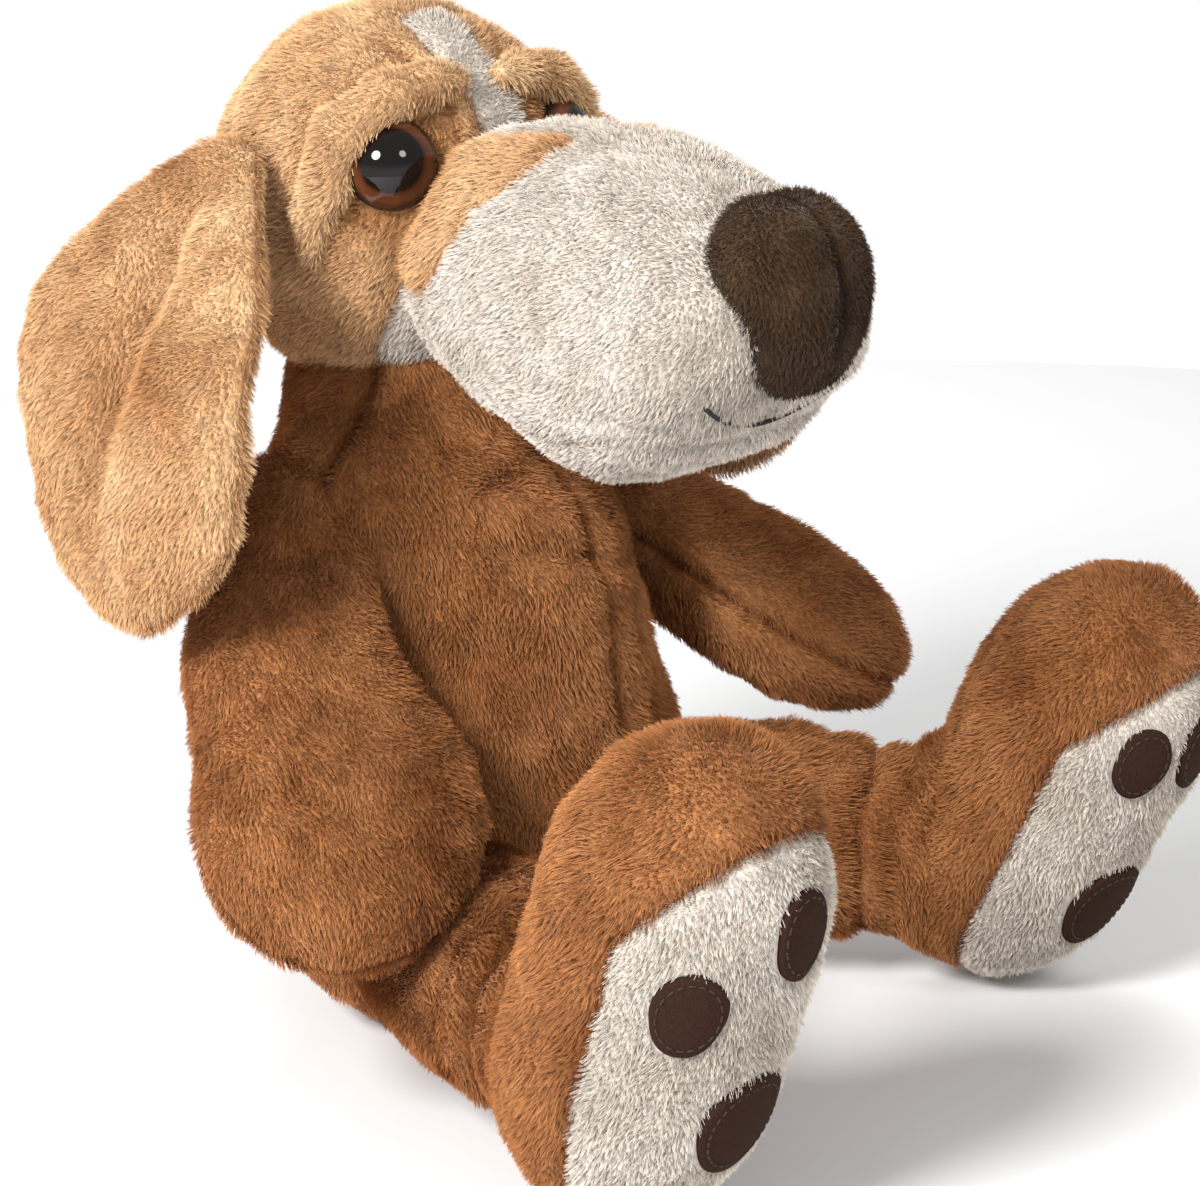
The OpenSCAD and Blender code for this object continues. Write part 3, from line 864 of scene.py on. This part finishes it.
def threads(paths, radius, sides=6):
    """Short closed tubes along paths of three or more points."""
    verts, faces = [], []
    for path in paths:
        ahead = np.gradient(path, axis=0)
        ahead /= lengths(ahead)[:, None]
        side = np.cross(ahead, (0.1, 0.9, 0.3))
        side /= lengths(side)[:, None]
        up = np.cross(side, ahead)
        first = len(verts)
        for point, s, u in zip(path, side, up):
            for k in range(sides):
                turn = 2 * math.pi * k / sides
                verts.append(point + radius * (math.cos(turn) * s + math.sin(turn) * u))
        faces += tube(len(path), sides, first, flip=True)
    return np.array(verts), faces


# ---- Arms ----

HAND_SPREAD = {"right": 5, "left": 0}   # how far each hand is pressed out to its front, mm


def arm_form(p, spread):
    upper = join(egg(p, (-4, 0, 4), (22, 25, 25)), egg(p, (0, 6, -40), (20, 28, 42)), 12)
    return join(upper, egg(p, (0, -spread, -84), (22.5, 34 + 0.8 * spread, 42)), 14)


def arm_folds(p):
    """Slack creases at the armpit and the elbow."""
    sag = 3 * rumple(p * (1, 1, 0.3), 20, 9)
    return -sum(depth * hill(p[:, 2] - place - sag, 4) * ramp(rumple(p, 26, place), -0.5, 0.4)
                for place, depth in ((-14, 2.2), (-30, 1.6), (-62, 1.4)))


def make_arm(side):
    outer, inner = f"arm_{side}_outer", f"arm_{side}_inner"
    kinds = dict.fromkeys((outer, inner), "brown_plush")
    space = limb_space(side, f"arm_{side}_swing", outer, inner)

    def form(p):
        return arm_form(p, HAND_SPREAD[side])

    INSIDE[f"arm_{side}_stuffing"] = space, form
    pieces = sew(form, (-28, -46, -130), (28, 40, 32), space, [lambda p: p[:, 0]],
                 lambda p: np.where(p[:, 0] > 0, 0, 1), ground(kinds), flow(0, 0, -1), arm_folds,
                 mottle(30, 21))
    dress(pieces, f"arm_{side}", kinds)


# ---- Ears ----

EAR_LENGTH = 135


def ear_middle(p):
    """Distance outward from the sheet between the two layers, with its soft fold and its bow."""
    x, y, z = p.T
    share = np.clip(-z / EAR_LENGTH, 0, 1)
    fold = -8 * hill(y + 4 + 2 * share, 9) * ramp(-z, 6, 40) * ramp(z, -125, -80)
    bow = 12 * np.sin(math.pi * share) - 15 * share ** 2 + 5 * hill(y + 34, 20) * ramp(-z, 50, 110)
    return x - bow - fold


def ear_form(p):
    """A thick lens, narrow at its root, with a soft fold down its front half."""
    x, y, z = p.T
    half = 49 * (0.5 + 0.5 * ramp(-z, -8, 62))
    u = (y + 15 * ramp(-z, 50, 115)) / half
    v = (z + EAR_LENGTH / 2) / (EAR_LENGTH / 2)
    q = (np.abs(u) ** 2.3 + np.abs(v) ** 2.3 + 1e-9) ** (1 / 2.3)
    thick = 6.5 + 2 * ramp(-z, 40, 100)
    return (np.sqrt((ear_middle(p) / thick) ** 2 + q ** 4) - 1) * thick


def make_ear(side):
    outer, inner = f"ear_{side}_outer", f"ear_{side}_inner"
    kinds = dict.fromkeys((outer, inner), "tan_plush")
    space = limb_space(side, f"ear_{side}_lift", outer, inner)

    pieces = sew(ear_form, (-34, -70, -142), (26, 50, 6), space, [ear_middle],
                 lambda p: np.where(ear_middle(p) > 0, 0, 1), ground(kinds), flow(0, 0.1, -1),
                 mottle(22, 31, 0, 0.5), mottle(34, 31, 0.5, 0.28), groove=1.2)
    dress(pieces, f"ear_{side}", kinds)


# ---- Head ----

BALL = ((0, 3, 58), (52, 48, 55))
SNOUT = ((0, -90, 40), (46, 74, 43))
SNOUT_DROP = math.radians(11)
EYE = (30.5, -32, 73.5)
EYE_LOOK = (0.6, -0.75, 0.28)
EYE_RADIUS = 12.7
CHOP_SLOPE, CHOP = np.array((0, -0.75, -0.66)), 54   # the slope under the front of the muzzle
JAW = 10              # height of the seam under the jowls


def snout(p):
    q = p - SNOUT[0]
    along = q[:, 1] * math.cos(SNOUT_DROP) + q[:, 2] * math.sin(SNOUT_DROP)
    over = -q[:, 1] * math.sin(SNOUT_DROP) + q[:, 2] * math.cos(SNOUT_DROP)
    return egg(np.stack([q[:, 0], along, over], 1), (0, 0, 0), SNOUT[1])


def fold_over(p):
    """One side of the head stands for both: X becomes its distance from the middle."""
    return np.stack([np.abs(p[:, 0]), p[:, 1], p[:, 2]], 1)


def head_form(p):
    q = fold_over(p)
    ball = join(egg(p, *BALL), egg(q, (27, -23, 85), (16, 10, 7)), 8)
    jowl = egg(q, (20, -112, 26), (24, 38, 26))
    chops = keep(join(snout(p), jowl, 12), (p - SNOUT[0]) @ CHOP_SLOPE - CHOP, 16)
    return join(ball, chops, 5)


def blaze_edge(p):
    middle = 5 * ramp(-p[:, 2], -106, -84)
    return np.abs(p[:, 0] - middle) - 9 - 0.8 * rumple(p, 7, 2)


def gusset_edge(p):
    return np.abs(p[:, 0]) - 12 - 0.5 * np.maximum(p[:, 2] - 92, 0)


def crown_edge(p):
    """Positive behind the seam that runs over the crown from ear to ear."""
    return p[:, 1] + 11 - 0.5 * np.maximum(np.abs(p[:, 0]) - 17, 0)


def cheek_edge(p):
    """Negative on the pale fabric under the head."""
    front = p[:, 1] + 14 + 0.7 * (p[:, 2] - 10) - 2 * rumple(p, 12, 5)
    return np.maximum(front, p[:, 2] - 40)


def band_edge(p):
    """Positive in front of the tan band, which is wider over the top of the muzzle."""
    return egg(p, *BALL) - BAND - 21 * ramp(p[:, 2], 40, 84) - 2.6 * rumple(p, 8, 8)


def snout_edge(p):
    return snout(p) - egg(p, *BALL)


HEAD_KINDS = {
    "head_side_right": "tan_plush", "head_side_left": "tan_plush",
    "head_gusset_right": "tan_plush", "head_gusset_left": "tan_plush",
    "head_blaze": "cream_plush", "head_back": "tan_plush", "chin_panel": "cream_plush",
    "muzzle_band_right": "tan_plush", "muzzle_band_left": "tan_plush",
    "muzzle_right": "cream_plush", "muzzle_left": "cream_plush", "muzzle_chin": "cream_plush",
}


def head_label(p):
    names = list(HEAD_KINDS)
    x, y, z = p.T
    left = (x > 0).astype(int)
    side = names.index("head_side_right") + left
    gusset = names.index("head_gusset_right") + left
    front = np.where(blaze_edge(p) < 0, names.index("head_blaze"),
                     np.where(gusset_edge(p) < 0, gusset, side))
    front = np.where((z < 74) & (blaze_edge(p) >= 0), side, front)
    ball = np.where(crown_edge(p) > 0, names.index("head_back"), front)
    ball = np.where(cheek_edge(p) < 0, names.index("chin_panel"), ball)
    low = np.where(z < JAW, names.index("muzzle_chin"), names.index("muzzle_right") + left)
    band = np.where(z > 42, names.index("muzzle_band_right") + left, names.index("chin_panel"))
    muzzle = np.where((band_edge(p) < 0) & (np.abs(x) > 12 + rumple(p, 8, 1)), band, low)
    return np.where(snout_edge(p) < 0, muzzle, ball)


def head_nap(p):
    """The pile is brushed back from the nose and down from the crown."""
    x, y, z = p.T
    on_snout = ramp(-y, 40, 70)
    side = 0.5 * np.sign(x) * ramp(np.abs(x), 0, 12)
    return np.stack([side, 0.75 + 0.1 * on_snout, -0.6 - 0.1 * on_snout], 1)


def head_relief(p):
    """Soft hollows round the eyes, the crease over the muzzle and the dents of the stuffing."""
    q = fold_over(p)
    eye = lengths(q - EYE)
    dent = -2.0 * hill(eye - 15, 5)
    bridge = -1.5 * hill(q[:, 0], 10) * hill(q[:, 1] + 44, 12) * ramp(q[:, 2], 60, 75)
    crease = -2.4 * hill(q[:, 2] - 24 - 0.25 * (q[:, 1] + 100), 5)
    crease *= ramp(-q[:, 1], 70, 100) * ramp(q[:, 0], 18, 34)
    return dent + bridge + crease + 0.5 * rumple(p, 20, 13)


def head_painted_shade(p):
    """Paler over the crown and darker round and under the eyes, where the shade is painted, with random
    patches of lighter and darker nap.
    """
    q = fold_over(p)
    eye = lengths(q - EYE)
    return 0.62 - 0.75 * hill(eye - 14, 9) + 0.22 * rumple(p, 34, 17)


def head_bald(p):
    q = fold_over(p)
    under_nose = (nose_form(p) < -4).astype(float)
    return np.maximum(under_nose, (lengths(q - EYE) < EYE_RADIUS).astype(float))


def make_head(space):
    cuts = [snout_edge, band_edge, cheek_edge, crown_edge, blaze_edge, gusset_edge,
            lambda p: p[:, 2] - JAW, lambda p: p[:, 0]]
    INSIDE["head_stuffing"] = INSIDE["muzzle_stuffing"] = space, head_form
    pieces = sew(head_form, (-56, -168, -6), (56, 54, 118), space, cuts, head_label, ground(HEAD_KINDS),
                 head_nap, head_relief, head_painted_shade, head_bald, groove=1.3, groove_width=2.6)
    dress(pieces, "head", HEAD_KINDS)


# Lower edge of the padded eyelid from the blaze round the eye: (x, y, z), radius.
LID_PATH = (((10, -34.5, 92), 3.0), ((19, -33, 90.5), 5.0), ((29.3, -30.5, 85.5), 6.5),
            ((37.5, -27, 78.5), 7.0), ((42, -24.5, 70), 6.0), ((45.5, -20.5, 62.5), 4.5),
            ((46.5, -18.5, 53), 2.8))


def lid_form(p):
    q = fold_over(p)
    spots = []
    for edge, radius in LID_PATH:
        away = unit(np.asarray(edge, float) - EYE)
        spots.append((np.asarray(edge) + away * radius * 0.8, radius))
    rods = [rod(q, a, b, ra, rb) for (a, ra), (b, rb) in zip(spots, spots[1:])]
    shape = rods[0]
    for part in rods[1:]:
        shape = join(shape, part, 2.5)
    return shape


def make_lid(space, side):
    name, sign = f"eyelid_{side}", SIDES[side]
    kinds = {name: "tan_plush"}
    low, high = np.array([4, -48, 44]), np.array([60, -8, 106])
    if sign < 0:
        low[0], high[0] = -high[0], -low[0]
    pieces = sew(lid_form, low, high, space, [], one_panel, ground(kinds), head_nap,
                 mottle(9, 3, 0, 0.3), mottle(20, 3, 0.72, 0.2), step=FINE_NET)
    dress(pieces, "head", kinds)


def nose_form(p):
    return join(egg(p, (0, -147, 54), (22.5, 18, 18)), egg(p, (0, -149.5, 39), (18, 15.5, 18)), 13)


def make_nose(space):
    kinds = dict.fromkeys(("nose_right", "nose_left"), "nose_plush")
    INSIDE["nose_stuffing"] = space, nose_form
    pieces = sew(nose_form, (-25, -170, 18), (25, -126, 76), space, [lambda p: p[:, 0]],
                 lambda p: np.where(p[:, 0] < 0, 0, 1), ground(kinds), flow(0, 0.3, -1),
                 shade=mottle(12, 6, 0.5, 0.2), groove=1.5, groove_width=2.2, step=FINE_NET)
    dress(pieces, "head", kinds)


MOUTH_HALF = 26       # half the width of the mouth, mm


def make_mouth(space):
    """The short thread of the mouth, pulled into the pile."""
    across = np.linspace(-MOUTH_HALF, MOUTH_HALF, 31)
    path = np.stack([across, np.full(31, -170.0), 12 + 9 * (across / MOUTH_HALF) ** 2], 1)
    for _ in range(30):
        path[:, 1] += head_form(path) * 0.9
    piece = make_mesh("mouth_stitch_thread", *threads([path - (0, 1.2, 0)], 0.6, 8), THREAD, space)
    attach(piece, "head")
    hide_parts("mouth_stitch")


def make_eye(space, side):
    """A domed eye turned on a lathe, with its shank."""
    s = SIDES[side]
    look = space.turn((EYE_LOOK[0] * s, EYE_LOOK[1], EYE_LOOK[2]))
    place = Space(space.world((EYE[0] * s, EYE[1], EYE[2])), (0, 0, 1), look)
    dome, top, count = 13.46, 10.2, 64
    profile = [(dome * math.sin(t), top - dome * (1 - math.cos(t))) for t in np.linspace(0.004, 1.24, 30)]
    profile += [(EYE_RADIUS, 0.6), (12.2, 0.2), (2.5, 0.2), (2.5, -12.6), (2.1, -13), (0.01, -13)]
    turns = np.linspace(0, 2 * math.pi, count, endpoint=False)
    verts = np.array([(r * math.cos(t), r * math.sin(t), z) for r, z in profile for t in turns])
    piece = make_mesh(f"eye_{side}_dome", verts, tube(len(profile), count), EYE_GLOSS, place)
    add_attribute(piece, "ring", "FLOAT", np.repeat([r / EYE_RADIUS for r, _ in profile], count))
    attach(piece, "head")
    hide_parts(f"eye_{side}")


# ---- Tail and filling ----

def tail_form(p):
    return join(egg(p, (0, 0, -28), (11.5, 11.5, 34)), egg(p, (0, 0, 0), (11, 11, 11)), 6)


def make_tail():
    root = joint_point("tail_wag")
    space = Space(root, (0, 0, 1), root - far_end(root, "tail_cover"))
    kinds = {"tail_cover": "tan_plush"}
    INSIDE["tail_stuffing"] = space, tail_form
    pieces = sew(tail_form, (-14, -14, -66), (14, 14, 14), space, [], one_panel, ground(kinds),
                 flow(0, 0, -1), mottle(10, 3, 0, 0.4), step=1.6)
    dress(pieces, "tail", kinds)


def draw_in(verts, space, form, depth=6.0):
    """Moves the points that are too close to the fabric inward."""
    p = space.local(verts)
    for _ in range(4):
        g = slope(form, p)
        over = np.clip(form(p) + depth, 0, 6)
        p = p - over[:, None] * g / np.maximum((g ** 2).sum(1), 0.05)[:, None]
    return space.world(p)


def make_filling():
    """The stuffing and the bead bag inside: each CAD solid drawn in a little and made lumpy."""
    for name, node in frame["nodes"].items():
        if name == "bean_bag":
            kind, ending, material = "bead_bag", "_cloth", BEAD_CLOTH
        elif name.endswith("_stuffing"):
            kind, ending, material = "filling", "_fibre", FILLING
        else:
            continue
        mesh = node.data
        verts = np.array([v.co for v in mesh.vertices]) / MM
        normals = np.array([v.normal for v in mesh.vertices])
        faces = [tuple(f.vertices) for f in mesh.polygons]
        verts = verts - normals * (1.2 + 0.5 * rumple(verts, 9, 2))[:, None]
        if name in INSIDE:
            verts = draw_in(verts, *INSIDE[name])
        piece = make_mesh(name + ending, verts, faces, material)
        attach(piece, body_of(node)[0])
        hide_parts(name)


# ---- Other materials ----

def fuzzy(name, color, scale, contrast, depth, rough=0.9, detail=4.0, stretch=None, shine=0.5):
    """A matt material whose colour and bump come from noise."""
    material, tree, shader = new_material(name, rough)
    grain = noise_value(tree, scale, detail, stretch)
    tone = tinted(tree, scaled(tree, grain, contrast, 1 - contrast / 2), color)
    set_up(tree, shader, Base_Color=tone, Normal=bump(tree, grain, 0.7, depth * MM),
           Specular_IOR_Level=shine)
    return material


# Share of the eye's radius and the colour there: pupil, iris and dark rim.
IRIS = ((0.0, (0.004, 0.003, 0.003)), (0.66, (0.005, 0.003, 0.003)), (0.75, (0.085, 0.026, 0.010)),
        (0.86, (0.115, 0.038, 0.015)), (0.95, (0.030, 0.012, 0.006)), (1.0, (0.012, 0.006, 0.004)))


def eye_gloss():
    """Clear glossy plastic over a black pupil, with a red-brown iris and a dark rim."""
    material, tree, shader = new_material("eye_plastic", 0.06)
    waver = centred(tree, noise_value(tree, 260), 0.05)
    place = math_node(tree, "ADD", point_value(tree, "ring"), waver)
    bands = add_node(tree, "ShaderNodeValToRGB", Fac=place)
    elements = bands.color_ramp.elements
    for place, color in IRIS[1:-1]:
        elements.new(place).color = (*color, 1)
    elements[0].color, elements[-1].color = (*IRIS[0][1], 1), (*IRIS[-1][1], 1)
    set_up(tree, shader, Base_Color=bands.outputs[0], Specular_IOR_Level=0.3, Coat_Weight=0.2,
           Coat_Roughness=0.03)
    return material


FELT = fuzzy("pad_felt", (0.034, 0.016, 0.010), 1500, 0.9, 0.5, 0.95, 5.0, shine=0.08)
EYE_GLOSS = eye_gloss()
THREAD = fuzzy("black_thread", (0.012, 0.010, 0.010), 1400, 0.8, 0.2, 0.7, 3.0, (1, 1, 0.3))
PAD_THREAD = fuzzy("pad_thread", (0.030, 0.016, 0.012), 1800, 0.8, 0.1, 0.7)
FILLING = fuzzy("filling", (0.82, 0.82, 0.80), 420, 0.5, 1.5, 0.95, 6.0)
BEAD_CLOTH = fuzzy("bead_bag", (0.62, 0.60, 0.55), 340, 0.4, 1.2, 0.9)
WASHER = fuzzy("washer_plastic", (0.70, 0.70, 0.68), 900, 0.12, 0.1, 0.35)


# ---- Everything in place ----

def make_washers():
    for side in SIDES:
        node = frame["nodes"][f"eye_washer_{side}"]
        node.data.materials.clear()
        node.data.materials.append(WASHER)


def make_dog():
    make_torso()
    space = head_space()
    make_head(space)
    make_nose(space)
    make_mouth(space)
    for side in SIDES:
        limb = Limb(side)
        limb.sew()
        limb.make_pads(f"foot_{side}_toe_pads", TOE_PADS[side])
        limb.make_pads(f"foot_{side}_heel_pad", (HEEL_PAD[side],))
        make_arm(side)
        make_ear(side)
        make_lid(space, side)
        make_eye(space, side)
    make_tail()
    make_filling()
    make_washers()


# ---- Floor, light and camera ----

def make_floor():
    radius, count = 0.95, 96
    piece = bpy.data.meshes.new("floor")
    turns = [2 * math.pi * i / count for i in range(count)]
    rim = [(radius * math.cos(turn), radius * math.sin(turn), 0) for turn in turns]
    piece.from_pydata(rim, [], [tuple(range(count))])
    material, tree, shader = new_material("floor", 0.85)
    tone = scaled(tree, noise_value(tree, 40, 3.0), 0.02, 0.99)
    set_up(tree, shader, Base_Color=tinted(tree, tone, (0.96, 0.96, 0.96)))
    piece.materials.append(material)
    floor = bpy.data.objects.new("floor", piece)
    SCENE.collection.objects.link(floor)


def area_light(name, place, target, size, power):
    lamp = bpy.data.lights.new(name, "AREA")
    lamp.shape, lamp.size, lamp.energy = "DISK", size, power
    lamp_object = bpy.data.objects.new(name, lamp)
    SCENE.collection.objects.link(lamp_object)
    lamp_object.location = place
    away = Vector(place) - Vector(target)
    lamp_object.rotation_euler = away.to_track_quat("Z", "Y").to_euler()


# A studio that is white at the horizon and dimmer overhead, and its lamps: place, size and power.
SKY = {"From_Min": -0.02, "From_Max": 0.2, "To_Min": 1.05, "To_Max": 0.42}
LAMPS = {"key": ((-1.15, -0.05, 0.95), 0.45, 26), "window": ((-0.35, -1.1, 1.0), 0.35, 4),
         "rim": ((0.9, 0.7, 0.9), 0.6, 5)}
LIT_POINT = (0, -0.05, 0.14)


def make_light():
    world = bpy.data.worlds.new("studio")
    world.use_nodes = True
    tree = world.node_tree
    height = split(tree, add_node(tree, "ShaderNodeTexCoord").outputs["Generated"])["Z"]
    fade = add_node(tree, "ShaderNodeMapRange", Value=height, **SKY).outputs[0]
    set_up(tree, tree.nodes["Background"], Color=(1, 1, 1), Strength=fade)
    SCENE.world = world
    for name, (place, size, power) in LAMPS.items():
        area_light(name, place, LIT_POINT, size, power)


VIEW_TURN, VIEW_LIFT, VIEW_ROLL = (math.radians(a) for a in (-53.2, 15.7, -1.9))
VIEW_TARGET, VIEW_AWAY, VIEW_LENS = Vector((-3.1, -55.0, 134.1)) * MM, 877.7 * MM, 94.52


def make_camera():
    """The photo's own viewpoint."""
    lens = bpy.data.cameras.new("photo_view")
    lens.lens, lens.sensor_width, lens.clip_start = VIEW_LENS, 36, 0.01
    camera = bpy.data.objects.new("photo_view", lens)
    SCENE.collection.objects.link(camera)
    right = Vector((math.cos(VIEW_TURN), math.sin(VIEW_TURN), 0))
    back = Vector((math.sin(VIEW_TURN) * math.cos(VIEW_LIFT),
                   -math.cos(VIEW_TURN) * math.cos(VIEW_LIFT), math.sin(VIEW_LIFT)))
    up = back.cross(right)
    across = right * math.cos(VIEW_ROLL) + up * math.sin(VIEW_ROLL)
    rise = up * math.cos(VIEW_ROLL) - right * math.sin(VIEW_ROLL)
    turned = Matrix((across, rise, back)).transposed().to_4x4()
    camera.matrix_world = Matrix.Translation(VIEW_TARGET + back * VIEW_AWAY) @ turned
    SCENE.camera = camera


make_dog()
make_floor()
make_light()
make_camera()
SCENE.view_settings.view_transform = "Standard"
